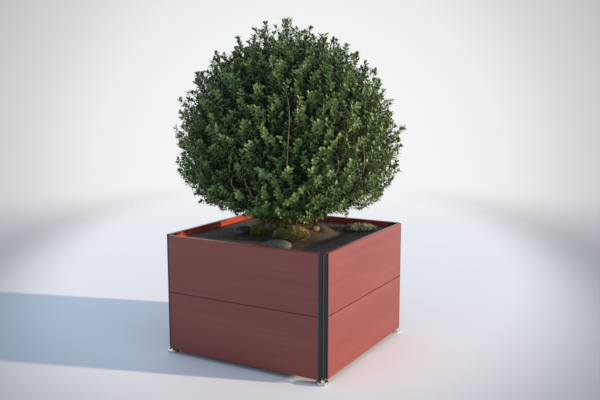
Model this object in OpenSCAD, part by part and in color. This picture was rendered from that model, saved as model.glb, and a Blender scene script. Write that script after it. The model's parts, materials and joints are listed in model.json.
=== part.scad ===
// Square planter box for streets and terraces, planted with a clipped globe shrub.
// Eight boards in two tiers stand between four fluted corner posts on levelling feet.
// Inside, a lift-out liner on floor slats holds gravel, fleece, soil and the planting.
// Millimetres, +Z up. The origin is the middle of the box on the ground.

/* [Box] */
// Outside width of the box, left to right
box_w = 1000; // [820:10:1300]
// Outside depth of the box, front to back
box_d = 1000; // [820:10:1300]
// Height of each lower board
lower_board_h = 321; // [260:1:420]
// Height of each upper board, without the tongue it sits on
upper_board_h = 314; // [240:1:420]
// Open shadow gap between the two tiers
seam_gap = 5; // [2:1:10]
// Free height under the boards
ground_gap = 30; // [26:1:60]

/* [Boards] */
// Thickness of the boards
board_t = 22; // [18:1:30]
// Bevel along the outer top edge of the upper boards
edge_bevel = 4; // [1:0.5:6]
// Thickness of the tongue that joins the tiers
tongue_t = 8; // [5:0.5:10]
// Length of tongue that enters the upper board
tongue_h = 10; // [6:1:16]
// Play on each side of the tongue and over its tip
tongue_play = 0.3; // [0.1:0.1:0.6]
// Joint between a board's end and the post
board_end_gap = 0.5; // [0.2:0.1:2]

/* [Corner posts] */
// Width of post that shows beside each board
post_face = 38; // [36:1:60]
// Flat strip left on each face before the fluted corner begins
post_lip = 6; // [3:0.5:7]
// Radius of the two flutes
flute_r = 9.3; // [6:0.1:9.5]
// How far a flute's middle lies behind the chamfer
flute_sink = 2; // [0:0.5:3]
// Thickness of the two flanges behind the boards
flange_t = 3.5; // [2.5:0.5:6]
// Length of each flange past the board's end
flange_len = 46; // [40:1:70]
// Radius of the round channel up the middle of the post
channel_r = 8; // [7:0.5:8]
// Wall between the channel and the post's inner faces
channel_wall = 2; // [2:0.5:4]
// Thickness of the cap on the post
cap_t = 2; // [1:0.5:4]
// Length of the cap's plug in the channel
cap_plug = 12; // [6:1:25]

/* [Floor] */
// Width of each leg of the angle rails
rail_leg = 40; // [36:1:60]
// Thickness of the angle rails
rail_t = 3; // [2:0.5:5]
// Height of the rails' upper face over the bottom of the boards
rail_lift = 30; // [28:1:60]
// Gap between floor slats, for drainage
slat_gap = 15; // [8:1:30]
// Thickness of the floor slats
slat_t = 18; // [14:1:28]
// Width of the tube under the middle of the slats
bearer_w = 30; // [20:1:50]
// Height of the tube under the middle of the slats
bearer_h = 22; // [14:1:24]
// Wall of that tube
bearer_wall = 2; // [1.5:0.5:4]
// Play between floor pieces that pass each other
floor_play = 1; // [0.5:0.5:3]

/* [Screws] */
// Radius of the board screws
board_screw_r = 2.1; // [1.5:0.1:2.5]
// Depth of a board screw in its board
board_screw_bite = 14; // [8:1:15]
// Lower board screw over a board's bottom
screw_low = 95; // [80:1:110]
// Upper board screw under a board's top
screw_high = 45; // [30:1:60]
// Radius of the rail screws
rail_screw_r = 3; // [2:0.1:4]
// Radius of the slat screws
slat_screw_r = 2; // [1.5:0.1:2.5]
// Head height of the board and rail screws
screw_head_h = 2.5; // [1.5:0.5:3]

/* [Feet] */
// Radius of a foot's disc
foot_r = 31; // [22:0.5:36]
// Height of a foot's disc over its pad
foot_disc_h = 15; // [8:0.5:15]
// Thickness of the pad under a foot
foot_pad_t = 3; // [2:0.5:4]
// Radius of a foot's threaded stem
stem_r = 5; // [4:0.5:5]
// Radius of the turned neck under the stem
neck_r = 8; // [6.5:0.5:9]
// Radial running play of neck in disc and of stem in bush
foot_play = 0.05; // [0.02:0.01:0.1]
// Length of the bush in the post
bush_len = 34; // [24:1:50]
// Thickness of the bush's collar under the post
bush_collar = 2; // [1:0.5:3]
// How far a foot screws out
foot_travel = 20; // [5:1:25]

/* [Planting] */
// Depth of the soil's surface under the rim
soil_drop = 33; // [20:1:80]
// Thickness of the soil that spreads over the liner's rim
topping_t = 17; // [10:1:30]
// Wall and floor thickness of the liner
liner_wall = 3; // [2:0.5:6]
// Corner radius of the liner, outside
liner_corner = 46; // [44:1:70]
// Clearance between the liner and the heads of the rail screws
liner_play = 2; // [1:0.5:6]
// Clearance between the topping and the boards
topping_play = 1; // [0.5:0.5:4]
// Radius of each drain hole
drain_r = 7; // [4:1:12]
// Thickness of the gravel drainage layer
gravel_t = 40; // [20:5:80]
// Thickness of the filter fleece
fleece_t = 2; // [1:0.5:4]
// Radius of the root ball at its top
root_ball_r = 210; // [150:5:260]
// Height of the root ball
root_ball_h = 280; // [180:5:320]
// Radius of the earth mound around the stems
mound_r = 250; // [200:5:280]
// Radius of the mound's level top
mound_top_r = 110; // [80:5:140]
// Height of the earth mound
mound_h = 55; // [20:1:60]
// Largest radius of the crown
crown_r = 612; // [350:1:640]
// Height of the crown's widest level over the soil
crown_mid = 455; // [430:1:600]
// Height of the crown over its widest level
crown_up = 735; // [400:1:800]
// Depth of the crown under its widest level
crown_down = 400; // [300:1:410]
// Thickness of the crown's leafy shell
crown_shell = 60; // [40:5:120]
// Height of the crown's lowest leaves over the soil
crown_clear = 88; // [84:1:120]
// Radius of the thickest stem
stem_thick = 13; // [8:1:16]

/* [Hidden] */
$fn = 64;
eps = 0.01;
rim_z = ground_gap + lower_board_h + seam_gap + upper_board_h;
soil_z = rim_z - soil_drop;
upper_z = ground_gap + lower_board_h + seam_gap;

// Post section: a is the way inward from one outer face, b from the other
chamfer = post_face - post_lip;
// The flutes' middles lie half a chamfer and this much apart, seen along one face
flute_spread = 1.75;
flute_apart = chamfer / 2 + flute_spread;
flute_a = (chamfer + flute_apart + flute_sink) / 2;
flute_b = (chamfer - flute_apart + flute_sink) / 2;
channel_at = post_face - channel_r - channel_wall;
flange_in = board_t + flange_t;

// Floor levels and insets
rail_z = ground_gap + rail_lift;
rail_in = flange_in + rail_t;
rail_toe = flange_in + rail_leg;
slat_top = rail_z + slat_t;
slat_end = post_face + 3 * floor_play;
slat_count = 5;
slat_w = (box_w - 2 * (rail_in + floor_play) - (slat_count - 1) * slat_gap) / slat_count;
// Screws stand this far in from the tips of the flanges
screw_from_tip = 9;
screw_a = post_face + flange_len - screw_from_tip;
rail_screw_z = slat_top + 10;
board_head_r = 5;
rail_head_r = 6;
// Clearance of a board screw's hole in the flange
screw_hole_play = 0.2;
// Offset of the slat screws from the middle of a slat, as a share of its width
slat_screw_share = 0.3;
slat_screw_y = box_d / 2 - (slat_end + rail_toe) / 2;

// Feet
bush_top = ground_gap + bush_len;
bush_low = ground_gap - bush_collar;
disc_top = foot_pad_t + foot_disc_h;
socket_z = foot_pad_t + 6;
hub_top = disc_top + 3;
stem_top = bush_top + foot_travel + 10;
// How far the bush's collar stands out round the channel
collar_out = 2.5;
// Half of the distance across the wrench flats on the neck
flat_half = neck_r - 1;

// Planting
liner_in = rail_in + screw_head_h + liner_play;
soil_in = liner_in + liner_wall;
liner_top = soil_z - topping_t;
gravel_z = slat_top + liner_wall;
fleece_z = gravel_z + gravel_t;
fill_z = fleece_z + fleece_t;
head_in = flange_in + screw_head_h + liner_play;
notch = post_face + flange_len + liner_play;
crown_z = soil_z + crown_mid;

SIDES = [["front", 0], ["right", 90], ["back", 180], ["left", 270]];
// Stems of the shrub: heading, lean, radius as a share of the thickest
STEMS = [[20, 12, 1], [95, 20, 0.8], [160, 14, 0.9], [215, 24, 0.65], [275, 16, 0.85], [335, 26, 0.6]];

// Middle of the earth mound, a little off the middle of the box
mound_at = [50, 60];
// Depth to which stones and tufts are bedded in the soil
bed = 12;
// Half width of a stone as a share of its half length
stone_slim = 0.62;
// Stones: x, y, turn, half length, height over the soil, level of their ground over the soil
STONE_FRONT = [141, -344, 12, 72, 44, 0];
STONE_LEFT = [-242, -108, 78, 60, 46, 0];
STONE_RIGHT = [268, 250, 15, 40, 39, 0];
STONE_SMALL = [158, 30, 30, 26, 18, 40];
// Tufts: x, y, radius, height over their ground, level of their ground over the soil
TUFT_FRONT = [125, -128, 70, 60, 16];
TUFT_FRONT_2 = [28, -150, 50, 50, 16];
TUFT_LEFT = [-150, -85, 43, 62, 0];
TUFT_RIGHT = [312, 312, 72, 48, 0];

// Places its children at a corner, where +X and +Y then point into the box
module at_corner(sx, sy) {
    translate([sx * box_w / 2, sy * box_d / 2, 0])
        mirror([sx > 0 ? 1 : 0, 0, 0]) mirror([0, sy > 0 ? 1 : 0, 0]) children();
}

// Turns its children from the front side to the named side, with the outer face at y = 0
module at_side(turn) {
    out = turn % 180 == 0 ? box_d / 2 : box_w / 2;
    rotate([0, 0, turn]) translate([0, -out, 0]) children();
}

function side_len(turn) = turn % 180 == 0 ? box_w : box_d;

// ---------- corner posts ----------

module post_outline() {
    difference() {
        union() {
            square(post_face);
            translate([post_face - 1, board_t]) square([flange_len + 1, flange_t]);
            translate([board_t, post_face - 1]) square([flange_t, flange_len + 1]);
        }
        polygon([[-1, -1], [chamfer + 1, -1], [-1, chamfer + 1]]);
        translate([flute_a, flute_b]) circle(flute_r);
        translate([flute_b, flute_a]) circle(flute_r);
    }
}

// Heights of the board screws
SCREW_LEVELS = [
    ground_gap + screw_low, ground_gap + lower_board_h - screw_high,
    upper_z + screw_low, upper_z + upper_board_h - screw_high
];

module post() {
    color("#2d2f31") difference() {
        translate([0, 0, ground_gap])
            linear_extrude(rim_z - cap_t - ground_gap) post_outline();
        translate([channel_at, channel_at, 0]) cylinder(r = channel_r, h = rim_z);
        for (z = SCREW_LEVELS) corner_holes(z, board_screw_r + screw_hole_play);
        corner_holes(rail_screw_z, rail_screw_r);
    }
}

// One hole through each flange at a height
module corner_holes(z, r) {
    translate([screw_a, flange_in + 5, z]) rotate([90, 0, 0]) cylinder(r = r, h = flange_t + 10);
    translate([flange_in + 5, screw_a, z]) rotate([0, -90, 0]) cylinder(r = r, h = flange_t + 10);
}

module post_cap() {
    color("#232426") {
        translate([0, 0, rim_z - cap_t]) linear_extrude(cap_t) difference() {
            square(post_face);
            polygon([[-1, -1], [chamfer + 1, -1], [-1, chamfer + 1]]);
            translate([flute_a, flute_b]) circle(flute_r);
            translate([flute_b, flute_a]) circle(flute_r);
        }
        translate([channel_at, channel_at, rim_z - cap_t - cap_plug])
            cylinder(r = channel_r - 0.2, h = cap_plug + cap_t / 2);
    }
}

// ---------- boards ----------

module board_screw_holes(z0, h, len) {
    for (s = [-1, 1]) for (z = [z0 + screw_low, z0 + h - screw_high])
        translate([s * (len / 2 - screw_a), board_t - board_screw_bite, z])
            rotate([-90, 0, 0]) cylinder(r = board_screw_r, h = board_screw_bite + 1);
}

module lower_board(turn) {
    len = side_len(turn) - 2 * (post_face + board_end_gap);
    color("#8a322c") at_side(turn) difference() {
        union() {
            translate([-len / 2, 0, ground_gap]) cube([len, board_t, lower_board_h]);
            translate([-len / 2, (board_t - tongue_t) / 2, ground_gap + lower_board_h - 1])
                cube([len, tongue_t, 1 + seam_gap + tongue_h]);
        }
        board_screw_holes(ground_gap, lower_board_h, side_len(turn));
    }
}

module upper_board(turn) {
    len = side_len(turn) - 2 * (post_face + board_end_gap);
    groove_w = tongue_t + 2 * tongue_play;
    color("#8a322c") at_side(turn) difference() {
        translate([-len / 2, 0, upper_z]) cube([len, board_t, upper_board_h]);
        translate([-len / 2 - 1, (board_t - groove_w) / 2, upper_z - 1])
            cube([len + 2, groove_w, tongue_h + tongue_play + 1]);
        translate([-len / 2 - 1, 0, rim_z]) rotate([90, 0, 90])
            linear_extrude(len + 2) polygon([[-1, 1], [-1, -edge_bevel - 1], [edge_bevel + 1, 1]]);
        board_screw_holes(upper_z, upper_board_h, side_len(turn));
    }
}

// Two screws at each end of each board, driven from behind through the flanges
module board_screws() {
    color("silver") for (side = SIDES) at_side(side[1])
        for (s = [-1, 1]) for (z = SCREW_LEVELS)
            translate([s * (side_len(side[1]) / 2 - screw_a), board_t - board_screw_bite, z])
                rotate([-90, 0, 0]) {
                    cylinder(r = board_screw_r, h = board_screw_bite + flange_t + 1);
                    translate([0, 0, board_screw_bite + flange_t])
                        cylinder(r = board_head_r, h = screw_head_h);
                }
}

// ---------- floor ----------

// The front and back rails run past the ends of the side rails
module rail(turn) {
    across = turn % 180 == 0;
    inset = across ? post_face + 3 * floor_play : rail_toe + floor_play;
    len = side_len(turn) - 2 * inset;
    color("#8d9094") difference() {
        at_side(turn) {
            translate([-len / 2, flange_in, rail_z - rail_t]) cube([len, rail_t, rail_leg]);
            translate([-len / 2, flange_in, rail_z - rail_t]) cube([len, rail_leg, rail_t]);
        }
        at_side(turn) for (s = [-1, 1])
            translate([s * (side_len(turn) / 2 - screw_a), flange_in - 1, rail_screw_z])
                rotate([-90, 0, 0]) cylinder(r = rail_screw_r, h = rail_t + 2);
        slat_screw_holes();
    }
}

module rail_screws() {
    color("silver") for (side = SIDES) at_side(side[1])
        for (s = [-1, 1])
            translate([s * (side_len(side[1]) / 2 - screw_a), board_t + eps, rail_screw_z])
                rotate([-90, 0, 0]) {
                    cylinder(r = rail_screw_r, h = flange_t + rail_t - eps + 1);
                    translate([0, 0, flange_t + rail_t - eps])
                        cylinder(r = rail_head_r, h = screw_head_h);
                }
}

// A tube with a strip on top, which fills the step between the side rails and the slats
module centre_bearer() {
    len = box_w - 2 * (rail_in + floor_play);
    strip = box_w - 2 * (rail_toe + floor_play);
    color("#8d9094") difference() {
        union() {
            translate([-len / 2, -bearer_w / 2, rail_z - rail_t - bearer_h])
                cube([len, bearer_w, bearer_h]);
            translate([-strip / 2, -bearer_w / 2, rail_z - rail_t - 1])
                cube([strip, bearer_w, rail_t + 1]);
        }
        translate([-len / 2 - 1, bearer_wall - bearer_w / 2, rail_z - rail_t - bearer_h + bearer_wall])
            cube([len + 2, bearer_w - 2 * bearer_wall, bearer_h - 2 * bearer_wall]);
    }
}

function slat_x(i) = (i - (slat_count - 1) / 2) * (slat_w + slat_gap);

module floor_slat(i) {
    len = box_d - 2 * slat_end;
    color("#6b5a48") difference() {
        translate([slat_x(i) - slat_w / 2, -len / 2, rail_z]) cube([slat_w, len, slat_t]);
        slat_screw_holes();
    }
}

// Two screws at each end of each slat, over the level legs of the front and back rails
module each_slat_screw() {
    for (i = [0 : slat_count - 1]) for (s = [-1, 1]) for (e = [-1, 1])
        translate([slat_x(i) + s * slat_w * slat_screw_share, e * slat_screw_y, 0]) children();
}

// A countersunk screw, or its hole when it runs past the rail below and the slat above
module slat_screw(past) {
    translate([0, 0, rail_z - rail_t - past])
        cylinder(r = slat_screw_r, h = rail_t + slat_t + 2 * past);
    translate([0, 0, slat_top - 2 * slat_screw_r])
        cylinder(r1 = slat_screw_r, r2 = 2 * slat_screw_r, h = 2 * slat_screw_r);
}

module slat_screw_holes() {
    each_slat_screw() slat_screw(1);
}

module slat_screws() {
    color("silver") each_slat_screw() slat_screw(0);
}

// ---------- levelling feet ----------

module at_foot(sx, sy) {
    at_corner(sx, sy) translate([channel_at, channel_at, 0]) children();
}

module foot_bush() {
    color("#b9a46a") difference() {
        union() {
            translate([0, 0, bush_low]) cylinder(r = channel_r, h = bush_top - bush_low);
            translate([0, 0, bush_low]) cylinder(r = channel_r + collar_out, h = bush_collar);
        }
        translate([0, 0, bush_low - 1]) cylinder(r = stem_r + foot_play, h = bush_len + bush_collar + 2);
    }
}

// A dished disc with a hub that holds the neck
module foot_disc() {
    color("#d8dadc") difference() {
        rotate_extrude() polygon([
            [0, foot_pad_t], [foot_r - 1, foot_pad_t], [foot_r, foot_pad_t + 1],
            [foot_r, disc_top - 2], [foot_r - 0.6, disc_top - 0.6], [foot_r - 2, disc_top],
            [foot_r - 3.5, disc_top - 0.5], [foot_r - 11, disc_top - 5], [neck_r + 7, disc_top - 4],
            [neck_r + 3.5, disc_top], [neck_r + 2, hub_top], [0, hub_top]
        ]);
        translate([0, 0, socket_z]) cylinder(r = neck_r + foot_play, h = hub_top);
    }
}

module foot_pad() {
    color("#c9c9c6") rotate_extrude() polygon([
        [0, 0], [foot_r - 2.5, 0], [foot_r - 1.5, 1], [foot_r - 1.5, foot_pad_t], [0, foot_pad_t]
    ]);
}

// Neck with two wrench flats, and the threaded stem
module foot_stem() {
    color("#d8dadc") difference() {
        union() {
            translate([0, 0, socket_z]) cylinder(r = neck_r, h = bush_low - socket_z);
            translate([0, 0, bush_low - 1]) cylinder(r = stem_r, h = stem_top - bush_low);
            translate([0, 0, stem_top - 1]) cylinder(r1 = stem_r, r2 = stem_r - 1, h = 1);
        }
        for (s = [0, 180]) rotate([0, 0, s]) translate([flat_half, -neck_r - 1, hub_top + 1])
            cube([neck_r, 2 * neck_r + 2, bush_low - hub_top - 2]);
    }
}

// ---------- liner and fill ----------

module rounded_area(inset, r) {
    w = box_w - 2 * inset;
    d = box_d - 2 * inset;
    square([w - 2 * r, d], center = true);
    square([w, d - 2 * r], center = true);
    for (sx = [-1, 1]) for (sy = [-1, 1])
        translate([sx * (w / 2 - r), sy * (d / 2 - r)]) circle(r);
}

// Drain holes over the gaps between the slats
module drain_holes() {
    for (i = [0 : slat_count - 2]) for (y = [-1, 1])
        translate([slat_x(i + 0.5), y * box_d / 5, slat_top - 1])
            cylinder(r = drain_r, h = liner_wall + 2);
}

module liner() {
    color("#1c1c1c") difference() {
        translate([0, 0, slat_top]) linear_extrude(liner_top - slat_top)
            rounded_area(liner_in, liner_corner);
        translate([0, 0, gravel_z]) linear_extrude(liner_top)
            rounded_area(soil_in, liner_corner - liner_wall);
        drain_holes();
    }
}

module liner_layer(z, h) {
    translate([0, 0, z]) linear_extrude(h) rounded_area(soil_in, liner_corner - liner_wall);
}

module drainage_gravel() {
    color("#8f8a80") liner_layer(gravel_z, gravel_t);
}

module filter_fleece() {
    color("#c8c8c0") liner_layer(fleece_z, fleece_t);
}

root_z = soil_z - root_ball_h;

module root_ball_shape() {
    rotate_extrude() polygon([
        [0, root_z], [root_ball_r * 0.62, root_z], [root_ball_r * 0.9, root_z + root_ball_h * 0.35],
        [root_ball_r, root_z + root_ball_h * 0.8], [root_ball_r * 0.96, soil_z], [0, soil_z]
    ]);
}

module root_ball() {
    color("#4a3626") difference() {
        root_ball_shape();
        bedded_pieces();
    }
}

// Everything that is pressed into the surface
module bedded_pieces() {
    for (s = [STONE_FRONT, STONE_LEFT, STONE_RIGHT, STONE_SMALL]) stone_shape(s);
    for (t = [TUFT_FRONT, TUFT_FRONT_2, TUFT_LEFT, TUFT_RIGHT]) tuft_shape(t);
}

// The topping stays clear of the boards, and of the flanges and screw heads at the corners
module topping_area() {
    square([box_w - 2 * (board_t + topping_play), box_d - 2 * notch], center = true);
    square([box_w - 2 * notch, box_d - 2 * (board_t + topping_play)], center = true);
    difference() {
        square([box_w - 2 * head_in, box_d - 2 * head_in], center = true);
        for (sx = [-1, 1]) for (sy = [-1, 1])
            translate([sx * box_w / 2, sy * box_d / 2])
                square(2 * (post_face + 2 * liner_play), center = true);
    }
}

module soil() {
    color("#33291f") difference() {
        union() {
            liner_layer(fill_z, liner_top - fill_z);
            translate([0, 0, liner_top]) linear_extrude(topping_t) topping_area();
            translate([mound_at[0], mound_at[1], soil_z])
                cylinder(r1 = mound_r, r2 = mound_top_r, h = mound_h);
        }
        root_ball_shape();
        stem_bundle();
        bedded_pieces();
    }
}

// ---------- planting ----------

// Leaning stems, cut level on the root ball and under the crown
module stem_bundle() {
    translate([0, 0, soil_z]) intersection() {
        union() for (s = STEMS) rotate([0, 0, s[0]]) translate([s[2] * 26, 0, -20])
            rotate([0, s[1], 0]) cylinder(r = stem_thick * s[2], h = 400);
        cylinder(r = crown_r, h = crown_clear);
    }
}

module shrub_stems() {
    color("#5b4636") stem_bundle();
}

// Half width of the crown at a height over its widest level
function crown_at(h) = h > 0 ? crown_r * sqrt(1 - pow(h / crown_up, 2))
                             : crown_r * sqrt(1 - pow(h / crown_down, 2));

crown_foot = crown_clear - crown_mid;
crown_steps = 14;
crown_side = concat(
    [for (i = [0 : crown_steps]) let (h = crown_foot * (1 - i / crown_steps)) [crown_at(h), h]],
    [for (i = [1 : crown_steps]) let (h = crown_up * sin(90 * i / crown_steps))
        [i < crown_steps ? crown_at(h) : 0, h]]
);
hollow_up = crown_up - crown_shell;
hollow_foot = crown_foot + crown_shell;
hollow_side = concat(
    [for (i = [0 : crown_steps]) let (h = hollow_foot * (1 - i / crown_steps))
        [crown_at(h) - crown_shell, h]],
    [for (i = [1 : crown_steps]) let (h = hollow_up * sin(90 * i / crown_steps))
        [i < crown_steps ? crown_at(h * crown_up / hollow_up) * (1 - crown_shell / crown_r) : 0, h]]
);

// A leafy shell around the bare inside of the shrub, closed at the bottom
module shrub_crown() {
    color("#3f5a2c") translate([0, 0, crown_z]) rotate_extrude() difference() {
        polygon(concat([[0, crown_foot]], crown_side));
        polygon(concat([[0, hollow_foot]], hollow_side));
    }
}

// A river stone, round about its long axis and bedded in the soil on a flat seat
module stone_shape(s) {
    across = stone_slim * s[3];
    translate([s[0], s[1], soil_z + s[5]]) rotate([0, 0, s[2]]) difference() {
        translate([0, 0, s[4] - across]) rotate([0, 90, 0]) rotate_extrude()
            polygon([for (i = [0 : 16]) [across * sin(180 * i / 16), -s[3] * cos(180 * i / 16)]]);
        translate([-2 * s[3], -2 * s[3], -bed - 4 * s[3]]) cube(4 * s[3]);
    }
}

module stone(s, tint) {
    color(tint) stone_shape(s);
}

// A low plant cushion, bedded in the soil on a flat seat
module tuft_shape(t) {
    r = t[2];
    translate([t[0], t[1], soil_z + t[4]]) rotate_extrude() polygon([
        [0, -bed], [r * 0.7, -bed], [r * 0.82, 0], [r, t[3] * 0.4], [r * 0.88, t[3] * 0.75],
        [r * 0.5, t[3]], [0, t[3]]
    ]);
}

// The cushions of one plant, grown round any stone beside them
module tuft(cushions, tint) {
    color(tint) difference() {
        union() for (t = cushions) tuft_shape(t);
        stone_shape(STONE_RIGHT);
    }
}

// ---------- nodes ----------

at_corner(-1, -1) post();  // post_front_left
at_corner(1, -1) post();  // post_front_right
at_corner(1, 1) post();  // post_back_right
at_corner(-1, 1) post();  // post_back_left
at_corner(-1, -1) post_cap();  // post_cap_front_left
at_corner(1, -1) post_cap();  // post_cap_front_right
at_corner(1, 1) post_cap();  // post_cap_back_right
at_corner(-1, 1) post_cap();  // post_cap_back_left
lower_board(0);  // board_front_lower
lower_board(90);  // board_right_lower
lower_board(180);  // board_back_lower
lower_board(270);  // board_left_lower
upper_board(0);  // board_front_upper
upper_board(90);  // board_right_upper
upper_board(180);  // board_back_upper
upper_board(270);  // board_left_upper
rail(0);  // rail_front
rail(90);  // rail_right
rail(180);  // rail_back
rail(270);  // rail_left
centre_bearer();
floor_slat(0);  // floor_slat_1
floor_slat(1);  // floor_slat_2
floor_slat(2);  // floor_slat_3
floor_slat(3);  // floor_slat_4
floor_slat(4);  // floor_slat_5
at_foot(-1, -1) foot_bush();  // foot_bush_front_left
at_foot(1, -1) foot_bush();  // foot_bush_front_right
at_foot(1, 1) foot_bush();  // foot_bush_back_right
at_foot(-1, 1) foot_bush();  // foot_bush_back_left
at_foot(-1, -1) foot_disc();  // foot_disc_front_left
at_foot(1, -1) foot_disc();  // foot_disc_front_right
at_foot(1, 1) foot_disc();  // foot_disc_back_right
at_foot(-1, 1) foot_disc();  // foot_disc_back_left
at_foot(-1, -1) foot_pad();  // foot_pad_front_left
at_foot(1, -1) foot_pad();  // foot_pad_front_right
at_foot(1, 1) foot_pad();  // foot_pad_back_right
at_foot(-1, 1) foot_pad();  // foot_pad_back_left
at_foot(-1, -1) foot_stem();  // foot_stem_front_left
at_foot(1, -1) foot_stem();  // foot_stem_front_right
at_foot(1, 1) foot_stem();  // foot_stem_back_right
at_foot(-1, 1) foot_stem();  // foot_stem_back_left
board_screws();
rail_screws();
slat_screws();
liner();
drainage_gravel();
filter_fleece();
soil();
root_ball();
shrub_stems();
shrub_crown();
stone(STONE_FRONT, "#6f7275");  // stone_front
stone(STONE_LEFT, "#5e6468");  // stone_left
stone(STONE_RIGHT, "#77746c");  // stone_right
stone(STONE_SMALL, "#a1907a");  // stone_small
tuft([TUFT_FRONT, TUFT_FRONT_2], "#6d7030");  // tuft_front
tuft([TUFT_LEFT], "#4c5224");  // tuft_left
tuft([TUFT_RIGHT], "#7f8768");  // tuft_right
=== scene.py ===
import json
import math

import bmesh
import bpy
import numpy as np
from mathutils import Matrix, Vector, noise


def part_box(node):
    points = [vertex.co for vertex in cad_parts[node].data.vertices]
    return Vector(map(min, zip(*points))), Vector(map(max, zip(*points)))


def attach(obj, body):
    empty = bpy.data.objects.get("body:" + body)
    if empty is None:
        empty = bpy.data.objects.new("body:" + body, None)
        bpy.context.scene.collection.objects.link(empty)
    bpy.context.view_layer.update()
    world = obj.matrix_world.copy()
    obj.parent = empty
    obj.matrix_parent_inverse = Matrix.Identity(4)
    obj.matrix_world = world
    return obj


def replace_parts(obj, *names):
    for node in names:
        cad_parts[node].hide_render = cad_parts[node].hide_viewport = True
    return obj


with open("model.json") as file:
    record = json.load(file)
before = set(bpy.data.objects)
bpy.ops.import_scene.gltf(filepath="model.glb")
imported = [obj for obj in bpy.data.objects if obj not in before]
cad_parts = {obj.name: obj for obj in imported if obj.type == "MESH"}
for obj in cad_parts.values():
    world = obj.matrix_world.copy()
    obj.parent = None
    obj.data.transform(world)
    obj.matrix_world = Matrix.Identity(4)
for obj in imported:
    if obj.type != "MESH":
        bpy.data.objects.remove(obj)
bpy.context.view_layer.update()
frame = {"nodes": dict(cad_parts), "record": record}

# ---------- sizes, in metres, worked out from the frame ----------

SEED = 20
UP = np.array([0, 0, 1])
LEVEL = np.array([1, 1, 0])

liner_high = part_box("liner")[1]
soil_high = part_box("soil")[1]
crown_low, crown_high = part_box("shrub_crown")

BOX_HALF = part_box("board_right_upper")[1].x
# The soil stands this much above the liner's rim
TOPPING = 0.017
LINER_WALL, LINER_CORNER = 0.003, 0.046
SOIL_Z = liner_high.z + TOPPING
TOPPING_HALF = soil_high.x
MOUND_AT = (0.05, 0.06)
MOUND_R, MOUND_TOP_R, MOUND_H = 0.235, 0.088, soil_high.z - SOIL_Z
# The small stone lies in a hollow of the mound, which takes this share of its height
SMALL_STONE = sum(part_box("stone_small"), Vector()) / 2
HOLLOW_R, HOLLOW_SHARE = 0.045, 0.42

# The crown is two half ellipsoids that meet at its widest level
CROWN_R = crown_high.x
CROWN_Z = SOIL_Z + 0.455
CROWN_UP = crown_high.z - CROWN_Z
CROWN_DOWN = 0.400
CROWN_FOOT = crown_low.z
CROWN_TALL = CROWN_UP + CROWN_Z - CROWN_FOOT
CROWN_MID = np.array([0, 0, CROWN_Z])
# Over its lowest stretch the crown is drawn in by up to this share
FOOT_STRETCH, FOOT_TUCK = 0.080, 0.24
# How far the leaves may go out along X and Y
REACH = 0.648


# ---------- mesh helpers ----------

def mesh_piece(name, verts, faces, material, smooth=True):
    """A piece from lists of vertices and faces."""
    mesh = bpy.data.meshes.new(name)
    mesh.from_pydata(verts, [], faces)
    return finish_piece(name, mesh, material, smooth)


def finish_piece(name, mesh, material, smooth=True, body="planting"):
    """Every piece made here rides on the planting, unless another body is given."""
    mesh.validate()
    mesh.update()
    if smooth:
        mesh.polygons.foreach_set("use_smooth", np.ones(len(mesh.polygons), bool))
    piece = bpy.data.objects.new(name, mesh)
    bpy.context.scene.collection.objects.link(piece)
    mesh.materials.append(material)
    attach(piece, body)
    return piece


def array_mesh(name, verts, face_sets, tone=None):
    """A mesh from numpy arrays: face_sets holds arrays of triangles and of quads."""
    mesh = bpy.data.meshes.new(name)
    mesh.vertices.add(len(verts))
    mesh.vertices.foreach_set("co", np.asarray(verts, np.float32).ravel())
    corners = np.concatenate([f.ravel() for f in face_sets]).astype(np.int32)
    sizes = np.concatenate([np.full(len(f), f.shape[1]) for f in face_sets])
    starts = np.concatenate([[0], np.cumsum(sizes)[:-1]]).astype(np.int32)
    mesh.loops.add(len(corners))
    mesh.loops.foreach_set("vertex_index", corners)
    mesh.polygons.add(len(sizes))
    mesh.polygons.foreach_set("loop_start", starts)
    mesh.update(calc_edges=True)
    if tone is not None:
        layer = mesh.attributes.new("tone", "FLOAT", "POINT")
        layer.data.foreach_set("value", np.asarray(tone, np.float32))
    return mesh


def unit(v):
    return v / np.maximum(np.linalg.norm(v, axis=-1, keepdims=True), 1e-9)


def outward(turn):
    """Level unit vectors at one or more headings."""
    return np.stack([np.cos(turn), np.sin(turn), 0 * turn], -1)


def tubes(paths, radii, sides):
    """Vertices and faces of closed tubes. paths: (n, rings, 3), radii: (n, rings)."""
    n, rings, _ = paths.shape
    along = unit(np.gradient(paths, axis=1))
    helper = np.where(np.abs(along[..., 2:3]) > 0.9, [1.0, 0, 0], [0, 0, 1.0])
    side = unit(np.cross(along, helper))
    up = np.cross(side, along)
    turn = 2 * math.pi * np.arange(sides) / sides
    ring = (side[:, :, None] * np.cos(turn)[:, None] + up[:, :, None] * np.sin(turn)[:, None])
    verts = paths[:, :, None] + ring * radii[:, :, None, None]
    k = np.arange(sides)
    base = (np.arange(n) * rings * sides)[:, None, None]
    row = (np.arange(rings - 1) * sides)[None, :, None]
    nxt = (k + 1) % sides
    quads = np.stack([base + row + k, base + row + nxt, base + row + sides + nxt,
                      base + row + sides + k], -1).reshape(-1, 4)
    fan = np.arange(1, sides - 1)
    start = (np.arange(n) * rings * sides)[:, None]
    end = start + (rings - 1) * sides
    caps = np.concatenate([
        np.stack([start + 0 * fan, start + fan + 1, start + fan], -1).reshape(-1, 3),
        np.stack([end + 0 * fan, end + fan, end + fan + 1], -1).reshape(-1, 3)])
    return verts.reshape(-1, 3), quads, caps


def tube_piece(name, paths, radii, sides, look):
    verts, quads, caps = tubes(paths, radii, sides)
    return finish_piece(name, array_mesh(name, verts, [quads, caps]), look)


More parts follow.
